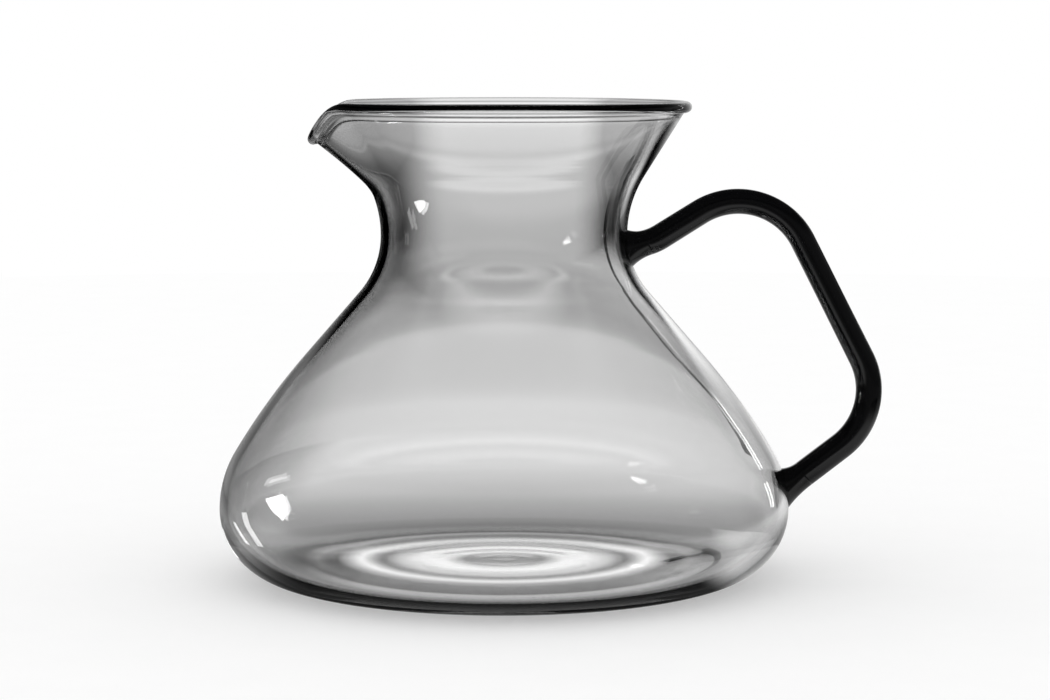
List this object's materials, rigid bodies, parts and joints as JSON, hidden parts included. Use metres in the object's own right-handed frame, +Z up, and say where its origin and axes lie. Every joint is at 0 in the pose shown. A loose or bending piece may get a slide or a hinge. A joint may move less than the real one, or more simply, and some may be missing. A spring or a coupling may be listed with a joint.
{
  "type": "coffee server",
  "caption": "Clear blown glass coffee server with a wide low belly, narrow waist, flared mouth, pulled pouring lip and a fused black glass rod handle.",
  "frame": {"origin": "centre of the base ring, on the plane that the server stands on", "axes": "+Z up along the axis of the body, +X towards the handle, -X towards the pouring lip"},
  "size_m": [0.1513, 0.13, 0.1089],
  "materials": {
    "clear_glass": "clear, blown and fire-polished borosilicate glass",
    "black_glass": "opaque black glass rod, fire-polished"
  },
  "bodies": {
    "root": {"glass_body": "clear_glass", "handle_rod": "black_glass", "upper_weld_foot": "black_glass", "lower_weld_foot": "black_glass"}
  },
  "joints": []
}
